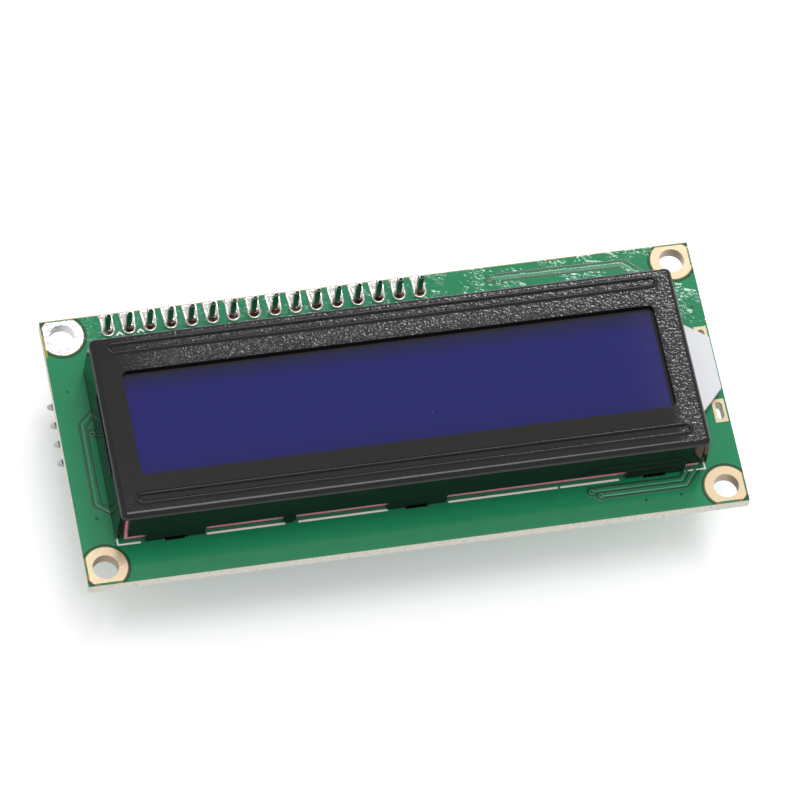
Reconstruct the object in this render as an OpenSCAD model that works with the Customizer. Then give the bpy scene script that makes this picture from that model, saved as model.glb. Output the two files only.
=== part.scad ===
// Character display module: a folded steel bezel clamps the glass, the rubber
// connectors and the backlight to a green board, and a small adapter board
// hangs behind it on a 16-way pin header. The origin is the centre of the four
// mounting holes on the front face of the main board. +Z points out of the
// display, +X along the header and +Y towards the header edge. Millimetres.

/* [Display] */
// Width of the visible window
window_w = 64.5; // [50:0.5:90]
// Height of the visible window
window_h = 13.8; // [11:0.1:20]
// Corner radius of the window
window_r = 0.7; // [0.2:0.1:1.5]
// Bezel border left and right of the window
border_side = 3.2; // [3:0.1:5]
// Bezel border on the header side of the window
border_top = 4.95; // [4.6:0.05:8]
// Bezel border on the side away from the header
border_bottom = 5.35; // [4.8:0.05:8]
// Thickness of each sheet of glass
glass_t = 1.1; // [0.7:0.1:1.4]
// Thickness of each polariser
polariser_t = 0.2; // [0.1:0.05:0.3]
// Width of the contact ledge on each long side of the front glass
ledge_w = 2.2; // [2.1:0.1:3]

/* [Backlight] */
// Floor thickness of the white backlight tray
tray_t = 1.1; // [0.8:0.1:1.6]
// Thickness of the clear light guide
guide_t = 2.45; // [1.6:0.05:3.5]
// Thickness of the diffuser film
diffuser_t = 0.15; // [0.1:0.05:0.3]
// Gap from the tongue of the tray to the edge of the main board
tongue_edge_gap = 0.4; // [0.3:0.1:1.5]

/* [Bezel] */
// Sheet thickness
sheet_t = 0.5; // [0.3:0.05:0.6]
// Outside radius of the folded edges
bend_r = 0.75; // [0.65:0.05:1]
// Width of each foot
foot_w = 7.1; // [5:0.1:8]
// Middle of each outer foot from the end of the bezel
foot_inset = 6.45; // [5.5:0.05:10]
// Lean of the end walls at their low edge
wall_lean = 0.35; // [0:0.05:0.5]
// Height of the walls' edge above the board between the feet
foot_h = 1.8; // [1:0.05:2.2]
// Width of the tab under each foot
tab_w = 2.4; // [1.5:0.1:3]
// Angle by which each tab is twisted behind the board
tab_twist = 35; // [0:5:60]
// Height of the rims of the pressed beads
bead_h = 0.3; // [0.1:0.05:0.5]

/* [Main board] */
// Board thickness
board_t = 1.6; // [1:0.1:2]
// Board margin left and right of the bezel
margin_side = 4.45; // [4.4:0.05:8]
// Board margin in front of the bezel
margin_front = 4.9; // [4.6:0.1:8]
// Board margin behind the bezel, where the header is
margin_header = 6.5; // [6:0.1:9]
// Diameter of the mounting holes
hole_d = 3.1; // [2:0.1:3.4]
// Mounting holes from the short edges of the board
hole_inset_x = 2.4; // [2.3:0.05:3.5]
// Mounting holes from the long edges of the board
hole_inset_y = 2.25; // [2.2:0.05:3.5]
// Outer diameter of the plated ring round each mounting hole
ring_d = 5.2; // [4.6:0.1:6]

/* [Header] */
// Number of pins between the two boards
header_pins_n = 16; // [14:1:16]
// Distance between pins
pitch = 2.54; // [2:0.01:2.54]
// Side of the square pins
pin_side = 0.64; // [0.5:0.02:0.7]
// First pin from the left edge of the main board
first_pin_inset = 8; // [7.8:0.1:12]
// Header row from the rear edge of the main board
header_inset = 2.25; // [2:0.05:3]
// Length of the pins above the header's insulator
pin_front = 6; // [4:0.1:9]
// Length of the pins below the header's insulator
pin_rear = 3; // [2.4:0.1:4]

/* [Adapter board] */
// Length of the adapter board
adapter_w = 41.5; // [39.5:0.1:48]
// Width of the adapter board
adapter_d = 19; // [17:0.5:24]
// Thickness of the adapter board
adapter_t = 1.6; // [1:0.1:2]
// Side of the square trimmer housing
trimmer_w = 6.8; // [6:0.1:8]
// Height of the trimmer housing
trimmer_h = 4.8; // [4:0.1:6]
// Diameter of the trimmer's rotor
rotor_d = 4; // [3:0.1:4.6]
// Gap round the rotor
rotor_gap = 0.12; // [0.08:0.01:0.2]
// Length of the jumper cap
cap_l = 6; // [5:0.1:8]
// Gap between the jumper cap and the pins in it
cap_gap = 0.1; // [0.06:0.01:0.2]

/* [Hidden] */
$fn = 48;

// Plan sizes: the window sets the bezel, and the bezel sets the board
bezel_w = window_w + 2*border_side;
bezel_d = window_h + border_top + border_bottom;
board_w = bezel_w + 2*margin_side;
board_d = bezel_d + margin_front + margin_header;
bezel_y0 = -board_d/2 + margin_front;
bezel_y1 = bezel_y0 + bezel_d;
bezel_cy = (bezel_y0 + bezel_y1)/2;
window_cy = bezel_y0 + border_bottom + window_h/2;
hole_x = board_w/2 - hole_inset_x;
hole_y = board_d/2 - hole_inset_y;

// Heights above the front face of the main board
tray_top = tray_t;
guide_top = tray_top + guide_t;
diffuser_top = guide_top + diffuser_t;
rear_polariser_top = diffuser_top + polariser_t;
rear_glass_top = rear_polariser_top + glass_t;
front_glass_top = rear_glass_top + glass_t;
front_polariser_top = front_glass_top + polariser_t;
bezel_top = front_polariser_top + sheet_t;

// Inside the bezel
fit_gap = 0.15;
inner_w = bezel_w - 2*sheet_t - 2*fit_gap;
inner_d = bezel_d - 2*sheet_t - 2*fit_gap;
stack_d = inner_d - 2*ledge_w;
connector_w = ledge_w - fit_gap;
connector_end_gap = 0.05;
film_inset = 0.3;
end_cap = 0.9;
led_w = 1.3;
led_clear = 0.15;
led_h_clear = 0.25;

// Details of the bezel
long_relief_top = 0.85;
long_relief_low = 0.9;
side_relief_top = 0.8;
side_relief_low = 0.6;
inner_r = bend_r - sheet_t;
foot_pitch = bezel_w/2 - foot_inset;
foot_shift = 0.25;
tab_reach = 1.3;
side_wall_gap = 0.1;
tab_slot_gap = 0.2;
nib_r = 0.75;
nib_shift = 0.85;
bead_base = 0.92;
bead_outer = 0.68;
bead_inner = 0.5;
bead_floor = 0.3;
bead_root = 0.1;
bead_end_inset = 1.85;
bead_offset = 3.1;
slot_h = 0.6;
slot_front = 5.7;
slot_rear = 4.85;
lip_out = 0.25;
lip_h = 1.8;
tongue_lift = 0.12;
tongue_clear = 0.15;
tongue_side_clear = 0.5;
tongue_root = [bezel_cy - stack_d/2 + 2.2, bezel_cy + stack_d/2 - 0.9];
tongue_tip = [bezel_cy - stack_d/2 + 7, bezel_cy + stack_d/2 - 4.4];

// Details of the main board
copper = 0.05;
edge_bare = 0.25;
header_hole_d = 1;
pad_d = 1.65;
pad_neck = 1.2;
pad_foot = 2;
slot_pad_w = 1.55;
slot_pad_d = 3.1;
slot_w = 0.86;
slot_l = 2.3;
slot_pad_edge = 1;
slot_pad_y = 5;
slot_pad_shift = 0.1;
blob_d = 12;
blob_h = 1.25;
blob_x = 14;
blob_y = -3.4;

// Header and adapter heights
insulator_h = pitch;
first_pin_x = -board_w/2 + first_pin_inset;
header_y = board_d/2 - header_inset;
header_span = (header_pins_n - 1)*pitch;
pin_top = -board_t + pin_front;
adapter_top = -board_t - insulator_h;
adapter_bottom = adapter_top - adapter_t;
pin_bottom = adapter_top - pin_rear;
pin_tip = 0.5;
adapter_side = 1.8;
adapter_rear = 1.6;
adapter_x0 = first_pin_x - adapter_side;
adapter_y1 = header_y + adapter_rear;
adapter_y0 = adapter_y1 - adapter_d;
adapter_x1 = adapter_x0 + adapter_w;

// Parts on the back of the adapter board
part_z = adapter_bottom;
serial_n = 4;
serial_reach = 6;
serial_inset = 11.05;
serial_y = adapter_y1 - serial_inset;
serial_row_z = part_z - pitch/2;
leg_inset = 3.9;
serial_leg_x = adapter_x0 + leg_inset;
leg_rise = 1.1;
insulator_overhang = 0.2;
jumper_n = 2;
tip_gap = 0.3;
jumper_y = serial_y;
jumper_leg_x = adapter_x1 - leg_inset;
cap_side = 2.4;
cap_wall_gap = 0.06;
cap_floor = 0.4;
bridge_l = 0.5;
contact_t = 0.15;
contact_inset = 0.6;
cap_x0 = adapter_x1 + insulator_overhang + cap_gap;
cap_cell = pin_side + 2*cap_gap + 2*contact_t + 2*cap_wall_gap;
jumper_reach = cap_gap + cap_l - cap_floor - cap_wall_gap - contact_t - tip_gap;
chip_l = 10.3;
chip_body_w = 7.5;
chip_h = 2.3;
chip_stand = 0.1;
chip_lead_span = 10.3;
chip_lead_pitch = 1.27;
chip_lead_w = 0.42;
chip_lead_t = 0.25;
chip_inset = [17.6, 7.4];
chip_x = adapter_x0 + chip_inset[0];
chip_y = adapter_y0 + chip_inset[1];
trimmer_inset = [10.4, 6.6];
trimmer_x = adapter_x1 - trimmer_inset[0];
trimmer_y = adapter_y0 + trimmer_inset[1];
trimmer_face = part_z - trimmer_h;
trimmer_legs = [[-pitch, 1.2], [0, -1.34], [pitch, 1.2]];
rotor_h = 1.4;
rotor_recess = 0.15;
rotor_slot_w = 0.6;
rotor_slot_l = 3;
rotor_slot_t = 0.5;
small = 0.01;

// Colours
green = [0.16, 0.50, 0.33];
gold = [0.93, 0.83, 0.60];
tin = [0.75, 0.75, 0.74];
black = [0.10, 0.10, 0.11];
white = [0.93, 0.93, 0.92];

function pin_x(i) = first_pin_x + i*pitch;
function row_offset(i, n) = (i - (n - 1)/2)*pitch;

// A box from one corner to the other
module block(low, high) {
    translate(low) cube(high - low);
}

// A rectangle with round corners
module round_rect(w, d, r) {
    union() {
        square([w - 2*r, d], center = true);
        square([w, d - 2*r], center = true);
        for (sx = [-1, 1], sy = [-1, 1])
            translate([sx*(w/2 - r), sy*(d/2 - r)]) circle(r = r);
    }
}

// A slot with round ends along Y
module slot_shape(w, l) {
    square([w, l - w], center = true);
    for (s = [-1, 1]) translate([0, s*(l - w)/2]) circle(d = w);
}

module at_holes() {
    for (sx = [-1, 1], sy = [-1, 1]) translate([sx*hole_x, sy*hole_y]) children();
}

module at_header() {
    for (i = [0 : header_pins_n - 1]) translate([pin_x(i), header_y]) children();
}

// The two slotted pads at the backlight end of the board
module at_slots() {
    for (s = [-1, 1])
        translate([board_w/2 - slot_pad_edge, window_cy + slot_pad_shift + s*slot_pad_y]) children();
}

// Places of the bezel's feet, on both long walls
module at_feet() {
    for (i = [-1, 0, 1], y = [bezel_y0 + sheet_t/2, bezel_y1 - sheet_t/2])
        translate([foot_shift + i*foot_pitch, y]) children();
}

module main_board() {
    color(green) translate([0, 0, -board_t]) linear_extrude(board_t) difference() {
        square([board_w, board_d], center = true);
        at_holes() circle(d = hole_d + 2*copper);
        at_header() circle(d = header_hole_d);
        at_slots() slot_shape(slot_w, slot_l);
        at_feet() square([tab_w + 2*tab_slot_gap, sheet_t + 2*tab_slot_gap], center = true);
    }
}

// Plating through each mounting hole, with a ring on both faces that is cut flat
// where it meets the board's edge
module hole_rings() {
    color(gold) difference() {
        union() {
            for (z = [-board_t - copper, 0]) translate([0, 0, z]) linear_extrude(copper)
                intersection() {
                    at_holes() circle(d = ring_d);
                    square([board_w - 2*edge_bare, board_d - 2*edge_bare], center = true);
                }
            translate([0, 0, -board_t - copper]) linear_extrude(board_t + 2*copper)
                at_holes() circle(d = hole_d + 2*copper);
        }
        translate([0, 0, -board_t - 2*copper]) linear_extrude(board_t + 4*copper)
            at_holes() circle(d = hole_d);
    }
}

// A header pad: round at the pin, with a neck that widens to the board's edge
module edge_pad() {
    difference() {
        union() {
            circle(d = pad_d);
            polygon([[-pad_neck/2, 0], [pad_neck/2, 0], [pad_neck/2, 0.9],
                [pad_foot/2, header_inset], [-pad_foot/2, header_inset], [-pad_neck/2, 0.9]]);
        }
        circle(d = header_hole_d);
    }
}

module front_pads() {
    color(gold) linear_extrude(copper) {
        at_header() edge_pad();
        at_slots() difference() {
            square([slot_pad_w, slot_pad_d], center = true);
            slot_shape(slot_w, slot_l);
        }
    }
}

module rear_pads() {
    color(gold) translate([0, 0, -board_t - copper]) linear_extrude(copper)
        at_slots() difference() {
            square([slot_pad_w, slot_pad_d], center = true);
            slot_shape(slot_w, slot_l);
        }
}

// A wall with slanting ends, from half its length at each edge
module wall_shape(half_top, half_low, low) {
    top = bezel_top - bend_r;
    polygon([[-half_low, low], [half_low, low], [half_top, top], [half_top, top + small],
        [-half_top, top + small], [-half_top, top]]);
}

// One long wall, seen from outside: straight edge, three feet and their tabs
module long_wall_shape() {
    wall_shape(bezel_w/2 - long_relief_top, bezel_w/2 - long_relief_low, foot_h);
    for (i = [-1, 0, 1]) translate([foot_shift + i*foot_pitch, 0]) {
        translate([-foot_w/2, 0]) square([foot_w, foot_h + 0.5]);
        translate([-tab_w/2, -board_t - 0.1]) square([tab_w, board_t + 0.5]);
    }
}

module long_wall() {
    rotate([90, 0, 0]) linear_extrude(sheet_t) long_wall_shape();
}

// The twisted end of each tab, behind the board
module tab_ends() {
    at_feet() translate([0, 0, -board_t - tab_reach]) rotate([0, 0, tab_twist])
        translate([-tab_w/2, -sheet_t/2, 0]) cube([tab_w, sheet_t, tab_reach - 0.02]);
}

// An end wall, on the outside of x = 0: it leans outwards below the fold
module side_wall() {
    top = bezel_top - bend_r;
    intersection() {
        rotate([90, 0, 0]) linear_extrude(bezel_d, center = true)
            polygon([[0, top + small], [0, top], [wall_lean, side_wall_gap],
                [wall_lean - sheet_t, side_wall_gap], [-sheet_t, top], [-sheet_t, top + small]]);
        translate([-2*sheet_t, 0, 0]) rotate([90, 0, 90]) linear_extrude(4*sheet_t)
            wall_shape(bezel_d/2 - side_relief_top, bezel_d/2 - side_relief_low, side_wall_gap);
    }
}

// Quarter-round fold along X, with its outside towards -Y and +Z
module fold(length) {
    rotate([90, 0, 90]) translate([0, 0, -length/2]) linear_extrude(length)
        intersection() {
            difference() {
                circle(r = bend_r);
                circle(r = inner_r);
            }
            translate([-bend_r, 0]) square([bend_r, bend_r]);
        }
}

// A ball-shaped corner between two folds
module fold_corner() {
    intersection() {
        difference() {
            sphere(r = bend_r);
            sphere(r = inner_r);
        }
        translate([-bend_r, -bend_r, 0]) cube(bend_r);
    }
}

// Section of one rim of a pressed bead, at its distance from the centre line
module rim_shape() {
    polygon([[bead_floor, -bead_root], [bead_floor, 0], [bead_inner, bead_h],
        [bead_outer, bead_h], [bead_base, 0], [bead_base, -bead_root]]);
}

// A long bead with a raised rim all round and a channel inside it
module bead() {
    half = bezel_w/2 - bead_end_inset - bead_base;
    for (s = [0, 180]) rotate([0, 0, s]) {
        rotate([90, 0, 90]) translate([0, 0, -half]) linear_extrude(2*half) rim_shape();
        translate([half, 0, 0]) rotate([0, 0, -90]) rotate_extrude(angle = 180) rim_shape();
    }
}

module plate() {
    translate([0, 0, bezel_top - sheet_t]) linear_extrude(sheet_t) difference() {
        translate([0, bezel_cy])
            square([bezel_w - 2*bend_r, bezel_d - 2*bend_r], center = true);
        translate([0, window_cy]) round_rect(window_w, window_h, window_r);
    }
}

// Folds, corners and walls round the plate
module skirt() {
    fold_x = bezel_w/2 - bend_r;
    fold_y = bezel_d/2 - bend_r;
    for (a = [0, 180]) translate([0, bezel_cy, bezel_top - bend_r]) rotate([0, 0, a]) {
        translate([0, -fold_y, 0]) fold(2*fold_x);
        rotate([0, 0, -90]) translate([0, -fold_x, 0]) fold(2*fold_y);
        translate([-fold_x, -fold_y, 0]) fold_corner();
        translate([fold_x, -fold_y, 0]) mirror([1, 0, 0]) fold_corner();
    }
    translate([0, bezel_y0 + sheet_t, 0]) long_wall();
    translate([0, bezel_y1, 0]) long_wall();
    for (a = [0, 180]) translate([0, bezel_cy, 0]) rotate([0, 0, a])
        translate([bezel_w/2, 0, 0]) side_wall();
}

module bezel() {
    color(black) {
        difference() {
            union() {
                plate();
                skirt();
            }
            // the backlight's tongue leaves through the right wall
            block([bezel_w/2 - sheet_t - 0.1, tongue_root[0] - tongue_side_clear, -0.1],
                [bezel_w/2 + wall_lean + 0.1, tongue_root[1] + tongue_side_clear,
                    tray_top + tongue_clear]);
            // relief slot at the top of the left wall
            block([-bezel_w/2 - 0.1, window_cy - slot_front, bezel_top - bend_r - slot_h],
                [-bezel_w/2 + sheet_t + 0.1, window_cy + slot_rear, bezel_top - bend_r]);
        }
        tab_ends();
        for (s = [-1, 1])
            translate([0, window_cy + s*(window_h/2 + bead_offset), bezel_top]) bead();
        // round-ended nib under the edge of the front wall
        translate([foot_shift - foot_pitch/2 - nib_shift, bezel_y0 + sheet_t, nib_r]) rotate([90, 0, 0]) {
            cylinder(r = nib_r, h = sheet_t);
            translate([-nib_r, 0, 0]) cube([2*nib_r, foot_h - nib_r + 0.2, sheet_t]);
        }
        // flared lip under the relief slot
        translate([-bezel_w/2, window_cy + slot_rear, bezel_top - bend_r - slot_h])
            rotate([90, 0, 0]) linear_extrude(slot_rear + slot_front)
                polygon([[0.05, 0], [-lip_out, 0], [-lip_out, -0.15], [0.05, -lip_h]]);
    }
}

// A sheet of the display stack, centred behind the bezel
module stack_sheet(w, d, low, high) {
    translate([0, bezel_cy, low]) linear_extrude(high - low) square([w, d], center = true);
}

module front_polariser() {
    color([0.20, 0.18, 0.42])
        stack_sheet(inner_w - film_inset, inner_d - film_inset, front_glass_top, front_polariser_top);
}

module front_glass() {
    color([0.35, 0.37, 0.50]) stack_sheet(inner_w, inner_d, rear_glass_top, front_glass_top);
}

module rear_glass() {
    color([0.35, 0.37, 0.50]) stack_sheet(inner_w, stack_d, rear_polariser_top, rear_glass_top);
}

module rear_polariser() {
    color([0.20, 0.18, 0.42])
        stack_sheet(inner_w - film_inset, stack_d - film_inset, diffuser_top, rear_polariser_top);
}

// A rubber strip that joins the ledge of the front glass to the board
module connector_strip(side) {
    y = bezel_cy + side*(inner_d/2 - connector_w/2);
    translate([0, y, 0]) linear_extrude(rear_glass_top)
        square([inner_w - 2*connector_end_gap, connector_w], center = true);
}

module front_connector() {
    color([0.87, 0.52, 0.58]) connector_strip(-1);
}

module rear_connector() {
    color([0.87, 0.52, 0.58]) connector_strip(1);
}

module diffuser() {
    color([0.96, 0.96, 0.96])
        stack_sheet(inner_w - film_inset, stack_d - film_inset, guide_top, diffuser_top);
}

// The clear plate lies in the tray between its left rim and the lamps
module light_guide() {
    color([0.88, 0.92, 0.95])
        block([-inner_w/2 + end_cap, bezel_cy - stack_d/2, tray_top],
            [inner_w/2 - end_cap - led_w - led_clear, bezel_cy + stack_d/2, guide_top]);
}

// White tray with a rim at each end and a tapered tongue through the bezel
module backlight_tray() {
    root_x = inner_w/2 - end_cap;
    tip_x = board_w/2 - tongue_edge_gap;
    color(white) {
        block([-inner_w/2, bezel_cy - stack_d/2, 0], [inner_w/2, bezel_cy + stack_d/2, tray_top]);
        for (x = [-inner_w/2, root_x])
            block([x, bezel_cy - stack_d/2, tray_top - small],
                [x + end_cap, bezel_cy + stack_d/2, guide_top]);
        translate([0, 0, tongue_lift]) linear_extrude(tray_top - tongue_lift)
            polygon([[root_x, tongue_root[0]], [inner_w/2, tongue_root[0]],
                [tip_x, tongue_tip[0]], [tip_x, tongue_tip[1]],
                [inner_w/2, tongue_root[1]], [root_x, tongue_root[1]]]);
    }
}

// Strip of lamps that shines into the end of the light guide
module backlight_led() {
    x = inner_w/2 - end_cap - led_w;
    color([0.96, 0.93, 0.70])
        block([x, bezel_cy - stack_d/2 + 2, tray_top],
            [x + led_w, bezel_cy + stack_d/2 - 2, guide_top - led_h_clear]);
}

// A cap of black resin over a bare chip, on the back of the main board
module blob(d, h) {
    r = (d*d/4 + h*h)/(2*h);
    rotate([180, 0, 0]) rotate_extrude() intersection() {
        translate([0, h - r]) circle(r = r, $fn = 360);
        square([d, h]);
    }
}

module controller_blob() {
    color(black) translate([-blob_x, blob_y, -board_t]) blob(blob_d, blob_h);
}

module driver_blob() {
    color(black) translate([blob_x, blob_y, -board_t]) blob(blob_d, blob_h);
}

// A small part with a body and a metal cap on each end, hanging from z = 0
module chip_part(l, w, h, cap_w, body_colour) {
    color(body_colour) translate([-l/2 + cap_w, -w/2 + 0.05, -h])
        cube([l - 2*cap_w, w - 0.1, h - 0.03]);
    for (x = [-l/2, l/2 - cap_w]) color(tin) translate([x, -w/2, -h - 0.02])
        cube([cap_w, w, h + 0.02]);
}

module board_resistors() {
    for (i = [0 : 4]) translate([board_w/2 - 24.5 + i*3.1, header_y - 0.6, -board_t])
        rotate([0, 0, 90]) chip_part(2, 1.25, 0.5, 0.4, black);
}

module board_capacitor() {
    translate([board_w/2 - 27.8, header_y - 0.6, -board_t]) rotate([0, 0, 90])
        chip_part(2, 1.25, 0.9, 0.4, [0.62, 0.50, 0.36]);
}

// One pin: a square bar from z0 up to z1, with a blunt point at each end
module square_pin(z0, z1) {
    translate([0, 0, z0 + pin_tip]) linear_extrude(z1 - z0 - 2*pin_tip)
        square(pin_side, center = true);
    translate([0, 0, z1 - pin_tip]) linear_extrude(pin_tip, scale = 0.45)
        square(pin_side, center = true);
    translate([0, 0, z0 + pin_tip]) mirror([0, 0, 1]) linear_extrude(pin_tip, scale = 0.45)
        square(pin_side, center = true);
}

// One cell of a pin strip: a block with chamfered corners and a hole for the pin
module strip_shape(n) {
    difference() {
        for (i = [0 : n - 1]) translate([row_offset(i, n), 0]) polygon([
            [-pitch/2, -0.75], [-0.8, -pitch/2 + 0.05], [0.8, -pitch/2 + 0.05], [pitch/2, -0.75],
            [pitch/2, 0.75], [0.8, pitch/2 - 0.05], [-0.8, pitch/2 - 0.05], [-pitch/2, 0.75]]);
        for (i = [0 : n - 1]) translate([row_offset(i, n), 0]) square(pin_side, center = true);
    }
}

module header_insulator() {
    color(black) translate([first_pin_x + header_span/2, header_y, adapter_top])
        linear_extrude(insulator_h) strip_shape(header_pins_n);
}

module header_pins() {
    color(tin) at_header() square_pin(pin_bottom, pin_top);
}

// A collar of solder round a square pin, standing on z = 0
module solder_collar(r_low, r_high, h) {
    difference() {
        cylinder(r1 = r_low, r2 = r_high, h = h);
        translate([0, 0, -0.1]) linear_extrude(h + 0.2) square(pin_side, center = true);
    }
}

module header_solder() {
    color(tin) at_header() translate([0, 0, copper]) solder_collar(0.7, 0.5, 0.35);
}

module adapter_solder() {
    color(tin) at_header() translate([0, 0, adapter_bottom]) mirror([0, 0, 1])
        solder_collar(0.85, 0.5, 0.7);
}

module adapter_board() {
    color(black) translate([0, 0, adapter_bottom]) linear_extrude(adapter_t) difference() {
        translate([adapter_x0, adapter_y0]) square([adapter_w, adapter_d]);
        at_header() circle(d = header_hole_d);
        for (i = [0 : serial_n - 1])
            translate([serial_leg_x, serial_y + row_offset(i, serial_n)]) circle(d = header_hole_d);
        for (i = [0 : jumper_n - 1])
            translate([jumper_leg_x, jumper_y + row_offset(i, jumper_n)]) circle(d = header_hole_d);
        for (p = trimmer_legs) translate([trimmer_x + p[0], trimmer_y + p[1]]) circle(d = 0.8);
    }
}

module expander_chip() {
    color([0.14, 0.14, 0.15]) translate([chip_x, chip_y, part_z - chip_stand - chip_h])
        difference() {
            linear_extrude(chip_h) square([chip_l, chip_body_w], center = true);
            // bevel along one long side, and the dimple that marks the first lead
            translate([0, -chip_body_w/2, 0]) rotate([45, 0, 0])
                cube([chip_l + 1, 0.7, 0.7], center = true);
            translate([chip_l/2 - 1.2, -chip_body_w/2 + 1.3, -0.1]) cylinder(d = 1, h = 0.2);
        }
}

// A gull-wing lead, seen from its side
module lead_shape() {
    run = (chip_lead_span - chip_body_w)/2;
    mid = chip_stand + chip_h/2;
    polygon([[0, mid - chip_lead_t/2], [run/2 - chip_lead_t, mid - chip_lead_t/2],
        [run/2 - chip_lead_t, 0], [run, 0], [run, chip_lead_t], [run/2, chip_lead_t],
        [run/2, mid + chip_lead_t/2], [0, mid + chip_lead_t/2]]);
}

module expander_leads() {
    color(tin) for (s = [0, 180], i = [0 : 7])
        translate([chip_x, chip_y, part_z]) rotate([0, 0, s])
            translate([(i - 3.5)*chip_lead_pitch, chip_body_w/2, 0]) rotate([90, 0, 90])
                linear_extrude(chip_lead_w, center = true) mirror([0, 1]) lead_shape();
}

module trimmer_housing() {
    color([0.10, 0.30, 0.72]) translate([trimmer_x, trimmer_y, 0]) difference() {
        translate([0, 0, trimmer_face]) linear_extrude(trimmer_h)
            round_rect(trimmer_w, trimmer_w, 0.4);
        translate([0, 0, trimmer_face - small])
            cylinder(d = rotor_d + 2*rotor_gap, h = rotor_recess + rotor_h + 2*rotor_gap);
    }
}

// The rotor turns in the housing's recess and has a screwdriver slot
module trimmer_rotor() {
    color(white) translate([trimmer_x, trimmer_y, trimmer_face + rotor_recess]) difference() {
        cylinder(d = rotor_d, h = rotor_h);
        translate([-rotor_slot_w/2, -rotor_slot_l/2, -small])
            cube([rotor_slot_w, rotor_slot_l, rotor_slot_t + small]);
        translate([-rotor_slot_l/2, -rotor_slot_w/2, -small])
            cube([rotor_slot_l, rotor_slot_w, rotor_slot_t + small]);
    }
}

module trimmer_pins() {
    color(tin) for (p = trimmer_legs) translate([trimmer_x + p[0], trimmer_y + p[1], part_z])
        cylinder(d = 0.6, h = adapter_t + leg_rise);
}

// Right-angle pin: a long leg along -X from the origin and a short leg up
module angle_pin(reach, rise) {
    translate([-reach + pin_tip, 0, 0]) rotate([0, -90, 0]) linear_extrude(pin_tip, scale = 0.45)
        square(pin_side, center = true);
    translate([-reach + pin_tip, -pin_side/2, -pin_side/2])
        cube([reach - pin_tip + pin_side/2, pin_side, pin_side]);
    translate([-pin_side/2, -pin_side/2, 0]) cube([pin_side, pin_side, rise]);
}

module angle_insulator(n) {
    rotate([90, 0, 90]) linear_extrude(pitch) strip_shape(n);
}

module serial_insulator() {
    color(black) translate([adapter_x0 - insulator_overhang, serial_y, serial_row_z])
        angle_insulator(serial_n);
}

module serial_pins() {
    reach = serial_leg_x - adapter_x0 + insulator_overhang + serial_reach;
    color(tin) for (i = [0 : serial_n - 1])
        translate([serial_leg_x, serial_y + row_offset(i, serial_n), serial_row_z])
            angle_pin(reach, pitch/2 + adapter_t + leg_rise);
}

module jumper_insulator() {
    color(black) translate([adapter_x1 + insulator_overhang - pitch, jumper_y, serial_row_z])
        angle_insulator(jumper_n);
}

module jumper_pins() {
    reach = adapter_x1 + insulator_overhang - jumper_leg_x + jumper_reach;
    color(tin) for (i = [0 : jumper_n - 1])
        translate([jumper_leg_x, jumper_y + row_offset(i, jumper_n), serial_row_z])
            rotate([0, 0, 180]) angle_pin(reach, pitch/2 + adapter_t + leg_rise);
}

module jumper_cap() {
    cap_d = pitch + cap_side;
    color(black) translate([cap_x0, jumper_y, serial_row_z]) difference() {
        rotate([90, 0, 90]) linear_extrude(cap_l) round_rect(cap_d, cap_side, 0.25);
        for (i = [0 : 1]) translate([-small, row_offset(i, 2) - cap_cell/2, -cap_cell/2])
            cube([cap_l - cap_floor + small, cap_cell, cap_cell]);
        translate([cap_l - cap_floor - bridge_l, -pitch/2, -cap_cell/2])
            cube([bridge_l, pitch, cap_cell]);
    }
}

// Sprung metal that bridges the two pins inside the cap
module jumper_contact() {
    far = cap_l - cap_floor - cap_wall_gap;
    inner = cap_cell/2 - cap_wall_gap;
    color([0.85, 0.72, 0.40]) translate([cap_x0, jumper_y, serial_row_z]) {
        for (i = [0 : 1], z = [-inner, inner - contact_t])
            translate([contact_inset, row_offset(i, 2) - inner, z])
                cube([far - contact_inset, 2*inner, contact_t]);
        translate([far - contact_t, -pitch/2 - inner, -inner])
            cube([contact_t, pitch + 2*inner, 2*inner]);
    }
}

module power_led() {
    translate([adapter_x0 + 7.5, adapter_y0 + 2.6, part_z])
        chip_part(1.6, 0.8, 0.6, 0.3, [0.95, 0.93, 0.85]);
}

// A small three-legged transistor
module transistor() {
    translate([adapter_x1 - 3.4, adapter_y0 + 2.6, part_z]) {
        color(black) translate([-1.45, -0.65, -1.1]) cube([2.9, 1.3, 1]);
        for (p = [[-0.95, -0.95], [0.95, -0.95], [0, 0.95]])
            color(tin) translate([p[0] - 0.2, p[1] - 0.35, -0.5]) cube([0.4, 0.7, 0.5]);
    }
}

module adapter_resistors() {
    for (i = [0 : 2]) translate([adapter_x0 + 8.4, serial_y + 0.6 + (i - 1)*1.9, part_z])
        chip_part(1.6, 0.8, 0.45, 0.3, black);
    translate([adapter_x1 - 3.6, adapter_y0 + 12.9, part_z])
        chip_part(1.6, 0.8, 0.45, 0.3, black);
}

module adapter_capacitor() {
    translate([chip_x + 8, adapter_y0 + 12.9, part_z])
        chip_part(2, 1.25, 0.9, 0.4, [0.62, 0.50, 0.36]);
}

// Three pairs of bare pads that set the adapter's address
module wire_pads() {
    color(gold) for (i = [0 : 2], s = [0, 1])
        translate([adapter_x0 + 11.2 + i*2.2, adapter_y0 + 0.3 + s, part_z - copper])
            cube([1.2, 0.8, copper]);
}

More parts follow.
